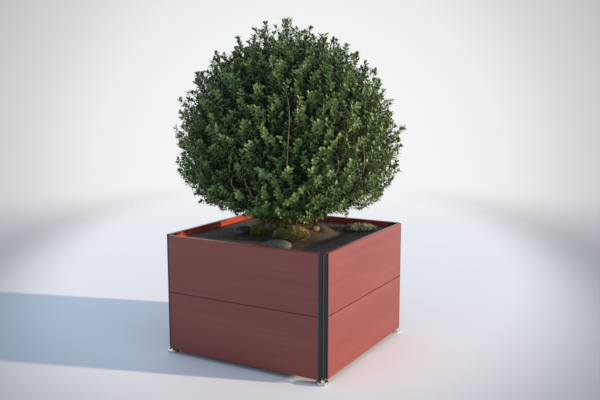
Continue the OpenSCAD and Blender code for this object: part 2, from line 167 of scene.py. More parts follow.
def shell_faces(around, levels, start=0):
    """Quads between stacked rings of vertices, and triangles that close the top and bottom rings."""
    k = np.arange(around)
    nxt = (k + 1) % around
    quads = [np.stack([a + k, a + nxt, a + around + nxt, a + around + k], -1)
             for a in start + around * np.arange(levels - 1)]
    fan = np.arange(1, around - 1)
    top = start + (levels - 1) * around
    tris = [np.stack([top + 0 * fan, top + fan, top + fan + 1], -1),
            np.stack([start + 0 * fan, start + fan + 1, start + fan], -1)]
    return np.concatenate(quads), np.concatenate(tris)


# ---------- material helpers ----------

def set_stops(node, stops):
    points = node.color_ramp.elements
    while len(points) < len(stops):
        points.new(0.5)
    for point, (at, colour) in zip(points, stops):
        point.position = at
        point.color = (*colour, 1)


class Look:
    """A Principled material with short calls for the textures that drive it."""

    def __init__(self, name, roughness, metallic=0.0, specular=0.5):
        self.material = bpy.data.materials.new(name)
        self.material.use_nodes = True
        self.nodes = self.material.node_tree.nodes
        self.links = self.material.node_tree.links
        self.shader = self.nodes["Principled BSDF"]
        self.shader.inputs["Roughness"].default_value = roughness
        self.shader.inputs["Metallic"].default_value = metallic
        self.shader.inputs["Specular IOR Level"].default_value = specular
        self.place = self.add("TexCoord").outputs["Object"]

    def add(self, kind, **values):
        """A new node. The names of its inputs are given with _ in place of a space."""
        node = self.nodes.new("ShaderNode" + kind)
        for name, value in values.items():
            node.inputs[name.replace("_", " ")].default_value = value
        return node

    def scaled(self, stretch):
        node = self.add("Mapping", Scale=stretch)
        self.links.new(self.place, node.inputs["Vector"])
        return node.outputs["Vector"]

    def noise(self, scale, detail=4.0, stretch=(1, 1, 1), rough=0.55, distort=0.0):
        node = self.add("TexNoise", Scale=scale, Detail=detail, Roughness=rough, Distortion=distort)
        self.links.new(self.scaled(stretch), node.inputs["Vector"])
        return node.outputs["Fac"]

    def cells(self, scale, output="Distance"):
        node = self.add("TexVoronoi", Scale=scale)
        self.links.new(self.place, node.inputs["Vector"])
        return node.outputs[output]

    def attribute(self, name):
        node = self.add("Attribute")
        node.attribute_name = name
        return node.outputs["Fac"]

    def axes(self):
        node = self.add("SeparateXYZ")
        self.links.new(self.place, node.inputs["Vector"])
        return node.outputs

    def spread(self):
        """The larger of the distances from the box's middle along X and Y."""
        axes = self.axes()
        return self.math("MAXIMUM", self.math("ABSOLUTE", axes["X"], 0), self.math("ABSOLUTE", axes["Y"], 0))

    def length(self, vector):
        node = self.add("VectorMath")
        node.operation = "LENGTH"
        self.links.new(vector, node.inputs[0])
        return node.outputs["Value"]

    def step(self, value, start, end):
        """0 before start and 1 after end, with a smooth step between them."""
        node = self.add("MapRange", From_Min=start, From_Max=end)
        node.interpolation_type = "SMOOTHSTEP"
        self.links.new(value, node.inputs["Value"])
        return node.outputs["Result"]

    def varied(self, value, pattern, amount):
        """The value, raised and lowered by a pattern that goes from 0 to 1."""
        return self.math("ADD", value, self.math("MULTIPLY", self.math("SUBTRACT", pattern, 0.5), amount))

    def math(self, operation, a, b):
        node = self.add("Math")
        node.operation = operation
        for socket, value in zip(node.inputs, (a, b)):
            if isinstance(value, (int, float)):
                socket.default_value = value
            else:
                self.links.new(value, socket)
        return node.outputs["Value"]

    def ramp(self, fac, stops):
        node = self.add("ValToRGB")
        set_stops(node, stops)
        self.links.new(fac, node.inputs["Fac"])
        return node.outputs["Color"]

    def mix(self, fac, a, b, blend="MIX"):
        node = self.add("Mix")
        node.data_type = "RGBA"
        node.blend_type = blend
        for name, value in (("Factor", fac), ("A", a), ("B", b)):
            kind = "NodeSocketFloat" if name == "Factor" else "NodeSocketColor"
            socket = next(s for s in node.inputs if s.name == name and s.bl_idname.startswith(kind))
            if isinstance(value, (int, float)):
                socket.default_value = value
            elif isinstance(value, tuple):
                socket.default_value = (*value, 1)
            else:
                self.links.new(value, socket)
        return next(s for s in node.outputs if s.bl_idname == "NodeSocketColor")

    def colour(self, socket):
        self.links.new(socket, self.shader.inputs["Base Color"])

    def roughness(self, fac, low, high):
        node = self.add("MapRange", To_Min=low, To_Max=high)
        self.links.new(fac, node.inputs["Value"])
        self.links.new(node.outputs["Result"], self.shader.inputs["Roughness"])

    def bump(self, fac, distance, strength=1.0):
        node = self.add("Bump", Distance=distance, Strength=strength)
        previous = self.shader.inputs["Normal"].links
        if previous:
            self.links.new(previous[0].from_socket, node.inputs["Normal"])
        self.links.new(fac, node.inputs["Height"])
        self.links.new(node.outputs["Normal"], self.shader.inputs["Normal"])


# ---------- materials ----------

def board_look():
    """Red laminate with a fine level grain under a satin face."""
    look = Look("board_laminate", 0.36, specular=0.78)
    streak = look.noise(1.0, 5, stretch=(2.2, 2.2, 170), rough=0.6)
    broad = look.noise(1.0, 3, stretch=(1.1, 1.1, 26), rough=0.5, distort=0.3)
    patch = look.noise(2.4, 2)
    grain = look.math("ADD", look.math("MULTIPLY", streak, 0.55), look.math("MULTIPLY", broad, 0.45))
    wood = look.ramp(grain, [(0.30, (0.185, 0.026, 0.018)), (0.52, (0.243, 0.043, 0.032)),
                             (0.72, (0.292, 0.063, 0.048))])
    wood = look.mix(look.math("MULTIPLY", patch, 0.35), wood, (0.215, 0.036, 0.026))
    # The inner half of the boards, which faces the soil, is painted a brighter, stronger orange red: painted
    # light for the sun on the inner walls
    inside = look.math("LESS_THAN", look.spread(), BOX_HALF - 0.012)
    look.colour(look.mix(inside, wood, look.mix(1.0, wood, (1.9, 1.3, 0.75), "MULTIPLY")))
    look.roughness(grain, 0.30, 0.44)
    look.bump(streak, 0.0002, 0.35)
    return look.material


def post_look():
    """Dark anodised profile with fine drawn lines up its length."""
    look = Look("post_anodised", 0.38, metallic=0.35)
    drawn = look.noise(1.0, 4, stretch=(900, 900, 3))
    cloud = look.noise(6, 3)
    tone = look.ramp(drawn, [(0.3, (0.046, 0.046, 0.046)), (0.7, (0.070, 0.070, 0.070))])
    look.colour(look.mix(cloud, tone, (0.056, 0.056, 0.056)))
    look.roughness(drawn, 0.30, 0.46)
    look.bump(drawn, 0.00008, 0.4)
    return look.material


def plastic_look(name, dark, light, roughness):
    look = Look(name, roughness)
    cloud = look.noise(9, 4)
    look.colour(look.ramp(cloud, [(0.3, dark), (0.7, light)]))
    look.roughness(cloud, roughness - 0.06, roughness + 0.08)
    look.bump(look.noise(900, 2), 0.0001, 0.5)
    return look.material


def galvanised_look():
    """Zinc with its crystal patches."""
    look = Look("rail_zinc", 0.4, metallic=0.9)
    patch = look.cells(70, "Color")
    tone = look.ramp(patch, [(0.2, (0.36, 0.37, 0.385)), (0.8, (0.55, 0.56, 0.575))])
    look.colour(look.mix(look.noise(14, 4), tone, (0.44, 0.45, 0.46)))
    look.roughness(look.noise(60, 3), 0.30, 0.52)
    return look.material


def metal_look(name, dark, light, roughness, stretch=(1, 1, 1), scale=120.0):
    look = Look(name, roughness, metallic=1.0)
    cloud = look.noise(scale, 4, stretch=stretch)
    look.colour(look.ramp(cloud, [(0.3, dark), (0.7, light)]))
    look.roughness(cloud, roughness * 0.75, roughness * 1.35)
    return look.material


def slat_look():
    look = Look("slat_board", 0.7)
    grain = look.noise(1.0, 6, stretch=(160, 3, 160), distort=0.6)
    look.colour(look.ramp(grain, [(0.3, (0.10, 0.066, 0.038)), (0.55, (0.20, 0.14, 0.085)),
                                  (0.8, (0.29, 0.21, 0.13))]))
    look.bump(grain, 0.0006, 0.6)
    return look.material


def gravel_look():
    look = Look("gravel_stones", 0.85)
    tint = look.cells(75, "Color")
    look.colour(look.ramp(tint, [(0.1, (0.14, 0.13, 0.12)), (0.5, (0.30, 0.28, 0.25)),
                                 (0.9, (0.46, 0.43, 0.38))]))
    look.bump(look.cells(75), 0.004)
    return look.material


def fleece_look():
    look = Look("fleece_felt", 0.95)
    fibre = look.noise(260, 5, distort=1.5)
    look.colour(look.ramp(fibre, [(0.35, (0.42, 0.42, 0.39)), (0.7, (0.62, 0.62, 0.58))]))
    look.bump(fibre, 0.0006)
    return look.material


def soil_look():
    """Dark soil that is browner on the mound, and paler along the rim, where painted light lifts the rim's
    shade.
    """
    look = Look("soil_loam", 0.95, specular=0.25)
    crumb = look.noise(170, 6, rough=0.7)
    patch = look.noise(11, 4)
    dark = look.ramp(crumb, [(0.32, (0.054, 0.043, 0.035)), (0.55, (0.120, 0.097, 0.078)),
                             (0.78, (0.215, 0.178, 0.142))])
    brown = look.ramp(crumb, [(0.30, (0.070, 0.045, 0.028)), (0.55, (0.140, 0.092, 0.057)),
                              (0.80, (0.230, 0.158, 0.100))])
    mound_from, mound_over = SOIL_Z + 0.004, 0.03
    share = look.math("MULTIPLY", look.math("SUBTRACT", look.axes()["Z"], mound_from), 1 / mound_over)
    clamp = look.add("Clamp")
    look.links.new(look.varied(share, patch, 0.6), clamp.inputs["Value"])
    # A paler band along the rim: painted light that lifts the shade the rim casts on the soil
    edge = look.math("ADD", look.spread(), look.math("MULTIPLY", patch, 0.10))
    rim_shade_lift = look.math("MULTIPLY", look.math("GREATER_THAN", edge, 0.36), 0.35)
    dark = look.mix(rim_shade_lift, dark, look.mix(1.0, dark, (1.8, 1.8, 1.85), "MULTIPLY"))
    look.colour(look.mix(clamp.outputs["Result"], dark, brown))
    look.bump(crumb, 0.002, 0.8)
    look.bump(look.noise(60, 4), 0.003, 0.6)
    return look.material


def bark_look(name, dark, light, scale=1.0):
    look = Look(name, 0.8)
    ridge = look.noise(1.0, 6, stretch=(190 * scale, 190 * scale, 40 * scale), distort=0.8)
    look.colour(look.ramp(ridge, [(0.3, dark), (0.75, light)]))
    look.bump(ridge, 0.0012, 0.8)
    return look.material


def leaf_look(name, shades, gloss):
    """Waxy leaf: the tone attribute goes from old and deep in the shrub, where it is also darkened as painted
    shade, to young at the tips.
    """
    look = Look(name, gloss, specular=0.34)
    patch = look.noise(7, 3)
    spot = look.noise(160, 3)
    tone = look.varied(look.attribute("tone"), patch, 0.55)
    tone = look.varied(tone, spot, 0.25)
    look.colour(look.ramp(tone, [(i / (len(shades) - 1), shade) for i, shade in enumerate(shades)]))
    look.roughness(spot, gloss - 0.08, gloss + 0.12)
    look.bump(spot, 0.0006, 0.4)
    return look.material


def stone_look(name, dark, mid, light):
    """River cobble: soft clouds, fine speckle and a worn face."""
    look = Look(name, 0.72)
    cloud = look.noise(18, 5)
    speck = look.noise(520, 3, rough=0.7)
    base = look.ramp(cloud, [(0.3, dark), (0.55, mid), (0.8, light)])
    look.colour(look.mix(look.math("MULTIPLY", speck, 0.45), base, light))
    look.roughness(cloud, 0.6, 0.82)
    look.bump(speck, 0.0004, 0.5)
    look.bump(cloud, 0.003, 0.4)
    return look.material


LOOKS = {
    "board_wood": board_look(),
    "post_metal": post_look(),
    "dark_plastic": plastic_look("liner_plastic", (0.018, 0.018, 0.019), (0.034, 0.034, 0.036), 0.5),
    "rail_steel": galvanised_look(),
    "slat_wood": slat_look(),
    "bush_brass": metal_look("bush_brass", (0.52, 0.38, 0.16), (0.68, 0.52, 0.26), 0.3, (1, 1, 6)),
    "screw_steel": metal_look("screw_steel", (0.46, 0.46, 0.48), (0.66, 0.66, 0.68), 0.28),
    "foot_chrome": metal_look("foot_chrome", (0.70, 0.70, 0.72), (0.82, 0.82, 0.83), 0.09, scale=40),
    "pad_rubber": plastic_look("foot_pad", (0.42, 0.42, 0.41), (0.58, 0.58, 0.57), 0.55),
    "gravel": gravel_look(),
    "fleece": fleece_look(),
    "earth": soil_look(),
    "bark": bark_look("stem_bark", (0.060, 0.038, 0.024), (0.190, 0.125, 0.080)),
    "leaves": leaf_look("leaf_wax", [
        (0.012, 0.030, 0.011), (0.036, 0.078, 0.025), (0.085, 0.152, 0.044),
        (0.165, 0.250, 0.070), (0.290, 0.385, 0.130)], 0.45),
    "cobble": stone_look("cobble_grey", (0.060, 0.062, 0.064), (0.110, 0.112, 0.112), (0.190, 0.188, 0.180)),
    "moss": leaf_look("moss_leaf", [
        (0.090, 0.084, 0.022), (0.290, 0.265, 0.062), (0.540, 0.480, 0.140), (0.900, 0.830, 0.540)], 0.6),
}
TAN_STONE = stone_look("cobble_tan", (0.150, 0.105, 0.070), (0.300, 0.220, 0.150), (0.460, 0.370, 0.280))
GRASS = leaf_look("grass_blade", [
    (0.045, 0.060, 0.018), (0.190, 0.230, 0.090), (0.470, 0.500, 0.280), (0.850, 0.840, 0.640)], 0.6)
OLD_LEAF = leaf_look("leaf_old", [
    (0.040, 0.032, 0.008), (0.095, 0.075, 0.014), (0.190, 0.150, 0.028), (0.270, 0.240, 0.060)], 0.55)
# Near-black leaf colour for the crown's inner shell: painted shade
SHADE_SHELL_LEAF = leaf_look("leaf_painted_shade", [(0.004, 0.007, 0.003), (0.010, 0.016, 0.006)], 0.8)
YOUNG_STEM = bark_look("stem_young", (0.070, 0.085, 0.018), (0.190, 0.210, 0.050), 2.0)
TWIG = bark_look("twig_bark", (0.130, 0.085, 0.058), (0.330, 0.235, 0.170), 2.0)

SLOT_OF = {s["node"]: s["material_slot"] for s in frame["record"]["subparts"]}
for node_name, node_object in frame["nodes"].items():
    node_object.data.materials.clear()
    node_object.data.materials.append(LOOKS[SLOT_OF[node_name]])


# ---------- soil ----------

def soil_height(x, y):
    """Level of the soil's surface: a soft mound, small waves and dimples."""
    away = math.hypot(x - MOUND_AT[0], y - MOUND_AT[1])
    t = min(max((MOUND_R - away) / (MOUND_R - MOUND_TOP_R), 0), 1)
    rise = MOUND_H * t * t * (3 - 2 * t)
    near = math.hypot(x - SMALL_STONE.x, y - SMALL_STONE.y) / HOLLOW_R
    rise *= 1 - HOLLOW_SHARE * math.exp(-near ** 2)
    wave = noise.fractal(Vector((x * 9, y * 9, 3.1)), 0.9, 2.1, 4) * 0.0028
    crumb = noise.fractal(Vector((x * 90, y * 90, 7.7)), 0.7, 2.2, 3) * 0.0011
    edge = min(TOPPING_HALF - abs(x), TOPPING_HALF - abs(y))
    calm = min(max(edge / 0.03, 0.15), 1)
    return SOIL_Z - 0.001 + rise + (wave + crumb) * calm


def axis_steps(half, notch, step):
    """Grid lines across the topping that hit the notches at its corners."""
    keys = (-half, *(-n for n in reversed(notch)), *notch, half)
    lines = [keys[0]]
    for a, b in zip(keys, keys[1:]):
        count = max(1, round((b - a) / step))
        lines += [a + (b - a) * (i + 1) / count for i in range(count)]
    return lines


def make_soil():
    # The corners step back for the posts, their flanges and the screws
    inner = BOX_HALF - 0.042
    outer = BOX_HALF - 0.086
    flange = BOX_HALF - 0.030
    lines = axis_steps(TOPPING_HALF, (outer, inner, flange), 0.0048)

    def inside(x, y):
        a, b = abs(x), abs(y)
        if a < outer or b < outer:
            return True
        return a < flange and b < flange and not (a > inner and b > inner)

    index, verts, faces = {}, [], []

    def vert(i, j, top):
        key = (i, j, top)
        if key not in index:
            index[key] = len(verts)
            x, y = lines[i], lines[j]
            verts.append((x, y, soil_height(x, y) if top else liner_high.z + 0.0002))
        return index[key]

    def cell(i, j):
        if not (0 <= i < len(lines) - 1 and 0 <= j < len(lines) - 1):
            return False
        return inside((lines[i] + lines[i + 1]) / 2, (lines[j] + lines[j + 1]) / 2)

    for i in range(len(lines) - 1):
        for j in range(len(lines) - 1):
            if not cell(i, j):
                continue
            ring = [(i, j), (i + 1, j), (i + 1, j + 1), (i, j + 1)]
            edges = zip(ring, ring[1:] + ring[:1])
            faces.append([vert(*p, True) for p in ring])
            faces.append([vert(*p, False) for p in reversed(ring)])
            for (p, q), (di, dj) in zip(edges, ((0, -1), (1, 0), (0, 1), (-1, 0))):
                if not cell(i + di, j + dj):
                    faces.append([vert(*q, True), vert(*p, True), vert(*p, False), vert(*q, False)])
    piece = mesh_piece("soil_surface", verts, faces, LOOKS["earth"])
    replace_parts(piece, "soil")


def make_fill():
    """The soil inside the liner, from the fleece up to the topping."""
    half = liner_high.x - LINER_WALL - 0.0002
    corner = LINER_CORNER - LINER_WALL
    low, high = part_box("filter_fleece")[1].z + 0.0002, liner_high.z + 0.0001
    outline = []
    for quarter, (sx, sy) in enumerate(((1, 1), (-1, 1), (-1, -1), (1, -1))):
        for k in range(13):
            turn = math.pi / 2 * (quarter + k / 12)
            outline.append((sx * (half - corner) + corner * math.cos(turn),
                            sy * (half - corner) + corner * math.sin(turn)))
    count = len(outline)
    verts = [(x, y, z) for z in (low, high) for x, y in outline]
    faces = [tuple(reversed(range(count))), tuple(range(count, 2 * count))]
    faces += [(k, (k + 1) % count, count + (k + 1) % count, count + k) for k in range(count)]
    piece = mesh_piece("soil_fill", verts, faces, LOOKS["earth"], smooth=False)
    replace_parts(piece, "soil")


make_soil()
make_fill()


def make_crumbs():
    """Loose crumbs and bits of gravel on the soil."""
    rng = np.random.default_rng(SEED)
    verts, faces = [], []
    shape = [(0, 0, 1), (1, 0, 0), (0, 1, 0), (-1, 0, 0), (0, -1, 0), (0, 0, -1)]
    sides = [(0, 1, 2), (0, 2, 3), (0, 3, 4), (0, 4, 1), (5, 2, 1), (5, 3, 2), (5, 4, 3), (5, 1, 4)]
    for _ in range(3200):
        x, y = rng.uniform(-0.45, 0.45, 2)
        size = 0.0014 + 0.0034 * rng.random() ** 3
        stretch = rng.uniform(0.7, 1.3, 3)
        turn = rng.uniform(0, math.tau)
        start = len(verts)
        level = soil_height(x, y) + size * 0.15
        for p in shape:
            a, b, c = (p[k] * size * stretch[k] * rng.uniform(0.8, 1.2) for k in range(3))
            verts.append((x + a * math.cos(turn) - b * math.sin(turn),
                          y + a * math.sin(turn) + b * math.cos(turn), level + c * 0.7))
        faces += [tuple(start + k for k in f) for f in sides]
    mesh_piece("soil_crumbs", verts, faces, LOOKS["earth"])


make_crumbs()


# ---------- stones ----------

def make_stone(node, material, seed):
    """A worn cobble at its CAD node's place and size: a flattened ellipsoid that is a little lumpy."""
    low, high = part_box(node)
    centre = (low + high) / 2
    solid = frame["nodes"][node].data
    co = np.array([v.co for v in solid.vertices]).reshape(-1, 3)
    flat = co[:, :2] - co[:, :2].mean(0)
    _, axes = np.linalg.eigh(flat.T @ flat)
    long_axis = Vector((axes[0, 1], axes[1, 1], 0))
    cross_axis = Vector((-long_axis.y, long_axis.x, 0))
    extent = [max(abs(Vector((*p, 0)).dot(a)) for p in flat) for a in (long_axis, cross_axis)]
    height = (high.z - low.z) / 2
    mesh = bpy.data.meshes.new(node + "_cobble")
    bm = bmesh.new()
    bmesh.ops.create_icosphere(bm, subdivisions=5, radius=1)
    for v in bm.verts:
        p = v.co.normalized()
        swell = 1 + 0.045 * noise.fractal(p * 1.3 + Vector((seed, 0, 0)), 1, 2, 2)
        swell += 0.012 * noise.fractal(p * 6 + Vector((0, seed, 0)), 1, 2, 3)
        shape = [math.copysign(abs(c) ** 0.92, c) for c in p]
        level = long_axis * shape[0] * extent[0] + cross_axis * shape[1] * extent[1]
        v.co = centre + level * swell * 0.985 + Vector((0, 0, shape[2] * height * 1.02 * swell - 0.001))
    bm.to_mesh(mesh)
    bm.free()
    piece = finish_piece(node + "_cobble", mesh, material)
    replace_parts(piece, node)


make_stone("stone_front", LOOKS["cobble"], 1.7)
make_stone("stone_left", LOOKS["cobble"], 4.2)
make_stone("stone_right", LOOKS["cobble"], 9.1)
make_stone("stone_small", TAN_STONE, 6.3)


# ---------- leaves ----------

# Leaf form: station along it, half width, drop of the middle line; edges stand up from the middle
LEAF_ROWS = ((0.22, 0.55, 0.015), (0.56, 1.0, 0.0), (0.84, 0.78, -0.05))


def leaf_template(width, fold):
    verts = [(0, 0, 0)]
    for at, share, drop in LEAF_ROWS:
        half, edge = width * share, drop + fold * share
        verts += [(-half, at, edge), (0, at, drop), (half, at, edge)]
    verts.append((0, 1, -0.11))
    tris = [(0, 2, 1), (0, 3, 2), (7, 8, 10), (8, 9, 10)]
    quads = [(1, 2, 5, 4), (2, 3, 6, 5), (4, 5, 8, 7), (5, 6, 9, 8)]
    return np.array(verts), np.array(tris), np.array(quads)


def place_leaves(base, along, normal, length, tone, width=0.25, fold=0.07):
    """Vertices, triangles, quads and tones of leaves at points, each along its own axis."""
    shape, tris, quads = leaf_template(width, fold)
    along = unit(along)
    across = unit(np.cross(along, normal))
    normal = np.cross(across, along)
    local = shape[None] * length[:, None, None]
    verts = (base[:, None] + local[..., 0:1] * across[:, None] + local[..., 1:2] * along[:, None]
             + local[..., 2:3] * normal[:, None])
    offset = (np.arange(len(base)) * len(shape))[:, None, None]
    return (verts.reshape(-1, 3), (offset + tris).reshape(-1, 3), (offset + quads).reshape(-1, 4),
            np.repeat(tone, len(shape)))


def leaf_piece(name, parts, look):
    verts, tris, quads, tones = place_leaves(*parts)
    finish_piece(name, array_mesh(name, verts, [tris, quads], tones), look)


def crown_point(share, turn):
    """Points and normals of the crown's surface: share is the height from foot to top, turn a heading."""
    z_rel = CROWN_FOOT - CROWN_Z + share * CROWN_TALL
    limit = np.where(z_rel > 0, CROWN_UP, CROWN_DOWN)
    radius = CROWN_R * np.sqrt(np.clip(1 - (z_rel / limit) ** 2, 0, 1))
    low = np.clip((CROWN_FOOT + FOOT_STRETCH - CROWN_Z - z_rel) / FOOT_STRETCH, 0, 1)
    radius = radius * (1 - FOOT_TUCK * low ** 1.5)
    slope = -z_rel / limit ** 2 * CROWN_R ** 2 / np.maximum(radius, 0.02)
    out = outward(turn)
    point = out * radius[:, None] + UP * (CROWN_Z + z_rel)[:, None]
    return point, unit(out - UP * slope[:, None])


def crown_shares(count, rng):
    """Heights spread evenly over the crown's area."""
    grid = np.linspace(0, 1, 801)
    mid = (grid[1:] + grid[:-1]) / 2
    point, _ = crown_point(grid, np.zeros_like(grid))
    area = np.linalg.norm(np.diff(point, axis=0), axis=1) * (point[1:, 0] + point[:-1, 0])
    total = np.cumsum(area) / area.sum()
    return np.interp((np.arange(count) + rng.random(count)) / count, total, mid)


def spread_over_crown(count, rng):
    turn = (np.arange(count) * math.pi * (3 - math.sqrt(5)) + rng.normal(0, 0.02, count)) % math.tau
    return crown_point(crown_shares(count, rng), turn)


# Shares of the radius that the shoots stand back from the crown's surface, each from a height
# and over a height: near the top, at the very top and, downwards, at the foot
STAND_BACK = ((0.045, 1.25, 0.35), (0.035, 1.60, 0.20), (0.085, 0.97, -0.20))
# From the crown's foot its underside rises outwards by this much per metre
UNDERSIDE_RISE = 0.16
# Radii of a shoot's stem at root and tip
SHOOT_THICK = (0.0017, 0.0008)


def shoot_lines(count, rng, depth, reach, leaf, bunch):
    """Roots, directions, lengths and tips of shoots over the crown, and their lift: 0 at its foot to 1."""
    point, normal = (np.repeat(a, bunch, axis=0) for a in spread_over_crown(count // bunch, rng))
    count = len(point)
    share = np.repeat(rng.uniform(*depth, count // bunch), bunch)
    share += rng.normal(0, 0.010, count) * (bunch > 1)
    for back, start, stretch in STAND_BACK:
        share -= back * np.clip((point[:, 2] - start) / stretch, 0, 1)
    tip = CROWN_MID + (point - CROWN_MID) * share[:, None] + rng.normal(0, 0.020, (count, 3)) * (bunch > 1)
    lift = np.clip((point[:, 2] - CROWN_FOOT) / 0.40, 0, 1)
    # Low shoots lean outwards, the others grow up
    flat = unit(point * LEVEL)
    grow = unit(normal * (0.20 + 0.25 * lift)[:, None] + flat * (0.62 - 0.44 * lift)[:, None]
                + UP * (0.20 + 0.62 * lift)[:, None] + rng.normal(0, 0.17, (count, 3)))
    length = rng.uniform(*reach, count)
    root = tip - grow * length[:, None]
    # Whole shoots are left out in front of a bare cane, past the crown's reach, below its underside,
    # and where they would float beside it
    free = clear_of_canes(tip, 0.030) & (np.abs(tip[:, :2]).max(axis=1) < REACH - leaf)
    out = np.hypot(tip[:, 0], tip[:, 1])
    free &= np.minimum(root[:, 2], tip[:, 2]) > CROWN_FOOT + UNDERSIDE_RISE * out - 0.02
    height = np.clip((tip[:, 2] - CROWN_FOOT) / CROWN_TALL, 0.01, 0.99)
    skin, _ = crown_point(height, np.arctan2(tip[:, 1], tip[:, 0]))
    free &= (out < np.hypot(skin[:, 0], skin[:, 1]) + 0.025) | (tip[:, 2] > 1.2)
    return root[free], grow[free], length[free], tip[free], lift[free]


def shoot_leaves(rng, shoots, bend, nodes, leaf, tone_mid):
    """Crossed pairs of leaves up each shoot, closer together and larger near its tip, with a bud on top."""
    root, grow, length, tip, lift = shoots
    count = len(root)
    first = unit(np.cross(grow, rng.normal(0, 1, (count, 3))))
    second = np.cross(grow, first)
    vigour = rng.normal(0, 1, count)
    # Leaves are darker low down and near the top of the crown
    shade = 0.14 * (1 - lift) + 0.14 * np.clip((tip[:, 2] - 1.4) / 0.3, 0, 1)
    base, along, facing, size, tone = [], [], [], [], []
    for k in range(nodes + 1):
        bud = k == nodes
        at = 1.0 if bud else 1 - (1 - k / (nodes - 1)) ** 1.35
        middle = root + grow * (length * at)[:, None] + bend * (4 * at * (1 - at))
        spin = k * math.pi / 2 + rng.normal(0, 0.35, count)
        upright = 14 if bud else 70 - 30 * at ** 2
        share = 0.62 if bud else 0.62 + 0.42 * at ** 1.5
        for side in (0, math.pi):
            out = first * np.cos(spin + side)[:, None] + second * np.sin(spin + side)[:, None]
            lean = np.radians(np.clip(upright + rng.normal(0, 9, count), 4, 100))
            base.append(middle + out * 0.0008)
            along.append(grow * np.cos(lean)[:, None] + out * np.sin(lean)[:, None]
                         + rng.normal(0, 0.10, (count, 3)))
            facing.append(grow * np.sin(lean)[:, None] - out * np.cos(lean)[:, None]
                          + rng.normal(0, 0.20, (count, 3)))
            size.append(leaf * share * rng.uniform(0.82, 1.15, count))
            tone.append(np.clip(tone_mid - 0.22 + 0.36 * at ** 1.6 + 0.12 * bud + 0.09 * vigour - shade
                                + rng.normal(0, 0.06, count), 0, 1))
    return [np.concatenate(a) for a in (base, along, facing, size, tone)]


def make_shoot_stems(name, shoots, bend, start, look):
    """Thin stems along the shoots. start: where they begin, in lengths of the leafy part from its root."""
    root, grow, length, _, _ = shoots
    t = np.linspace(start, 0.98, 7)
    path = root[:, None] + grow[:, None] * (length[:, None] * t)[..., None]
    path += bend[:, None] * (4 * t * (1 - t) * (t > 0))[None, :, None]
    thick = np.tile(np.linspace(*SHOOT_THICK, len(t)), (len(root), 1))
    # Not where the crown's underside would leave the stem bare
    over = path[..., 2] - CROWN_FOOT - UNDERSIDE_RISE * np.hypot(path[..., 0], path[..., 1])
    held = (over > 0.015).all(axis=1)
    tube_piece(name, path[held], thick[held], 3, look)


def make_sprigs(name, count, seed, depth, reach, nodes, leaf, tone_mid, sectors=6, stems=None, bunch=1):
    """Upright shoots all over the crown, with crossed pairs of leaves that crowd into a head at the tip.

    depth: share of the crown's radius at which the tips lie; reach: length of the leafy part;
    sectors: how many pieces they are split into; bunch: how many shoots grow together."""
    rng = np.random.default_rng(seed)
    shoots = shoot_lines(count, rng, depth, reach, leaf, bunch)
    _, grow, length, tip, _ = shoots
    count = len(tip)
    bend = unit(np.cross(grow, rng.normal(0, 1, (count, 3)))) * (length * 0.12)[:, None]
    parts = shoot_leaves(rng, shoots, bend, nodes, leaf, tone_mid)
    base = parts[0]
    owner = np.tile(np.arange(count), 2 * (nodes + 1))
    ground = CROWN_FOOT + 0.006 + 0.10 * np.clip(np.hypot(base[:, 0], base[:, 1]) - 0.2, 0, 1)
    keep = clear_of_canes(base, 0.016) & (base[:, 2] > ground)
    turn = np.arctan2(tip[:, 1], tip[:, 0]) + math.pi
    sector = np.floor(turn / math.tau * sectors).astype(int) % sectors
    for number in range(sectors):
        mine = keep & (sector[owner] == number)
        leaf_piece(f"{name}_{number + 1}", [a[mine] for a in parts], LOOKS["leaves"])
    if stems:
        # The outermost shoots would show a stem behind their leaves
        make_shoot_stems(name + "_shoots", shoots, bend, -0.5 if depth[1] < 1.03 else 0.0, stems)


# Thin canes just under the leaves: heading of foot and top, height of foot and top, sway
CANES = [(-62, -61, 1.00, 1.50, 0.045), (-91, -89, 1.03, 1.19, 0.01), (-88, -91, 0.90, 1.02, -0.01),
         (-112, -114, 0.95, 1.10, 0.02), (-79, -83, 0.87, 0.99, 0.0), (-35, -33, 0.96, 1.16, -0.01),
         (-20, -17, 0.95, 1.24, 0.02), (-47, -49, 0.87, 0.95, 0.0)]
CANE_RINGS = 18


def cane_paths():
    """Centre lines of the canes: those listed, and others like them over the rest of the crown."""
    rng = np.random.default_rng(SEED + 5)
    canes = list(CANES)
    for heading in range(8, 226, 14):
        low = rng.uniform(0.88, 1.10)
        canes.append((heading + rng.normal(0, 4), heading + rng.normal(0, 4), low,
                      low + rng.uniform(0.12, 0.40), rng.normal(0, 0.03)))
    lines = []
    t = np.linspace(0, 1, CANE_RINGS)
    for foot, head, low, high, sway in canes:
        share = (low + (high - low) * t - CROWN_FOOT) / CROWN_TALL
        turn = np.radians(foot + (head - foot) * t) + sway * np.sin(math.pi * t)
        turn += 0.008 * np.sin(9 * t + foot)
        point, normal = crown_point(share, turn)
        inset = 0.036 + 0.03 * (1 - t) ** 8 + 0.05 * t ** 8
        lines.append(point - normal * inset[:, None])
    return np.array(lines)


CANE_LINES = cane_paths()


def clear_of_canes(base, gap):
    """False for points that would hide a cane from outside."""
    keep = np.ones(len(base), bool)
    for line in CANE_LINES:
        for p in line[4:-3]:
            out = unit(p * LEVEL)
            away = base - p
            ahead = away @ out
            across = np.linalg.norm(away - ahead[:, None] * out, axis=1)
            keep &= ~((across < gap) & (ahead > -0.004) & (ahead < 0.2))
    return keep


def make_canes():
    thick = np.tile(np.linspace(0.0030, 0.0018, CANE_RINGS), (len(CANE_LINES), 1))
    tube_piece("shrub_canes", CANE_LINES, thick, 6, TWIG)


# Stems out of the root: heading, lean, thickness as a share of the thickest
STEMS = ((20, 12, 1), (95, 20, 0.8), (160, 14, 0.9), (215, 24, 0.65), (275, 16, 0.85), (335, 26, 0.6))
STEM_RINGS = 16
LIMB_RINGS = 10


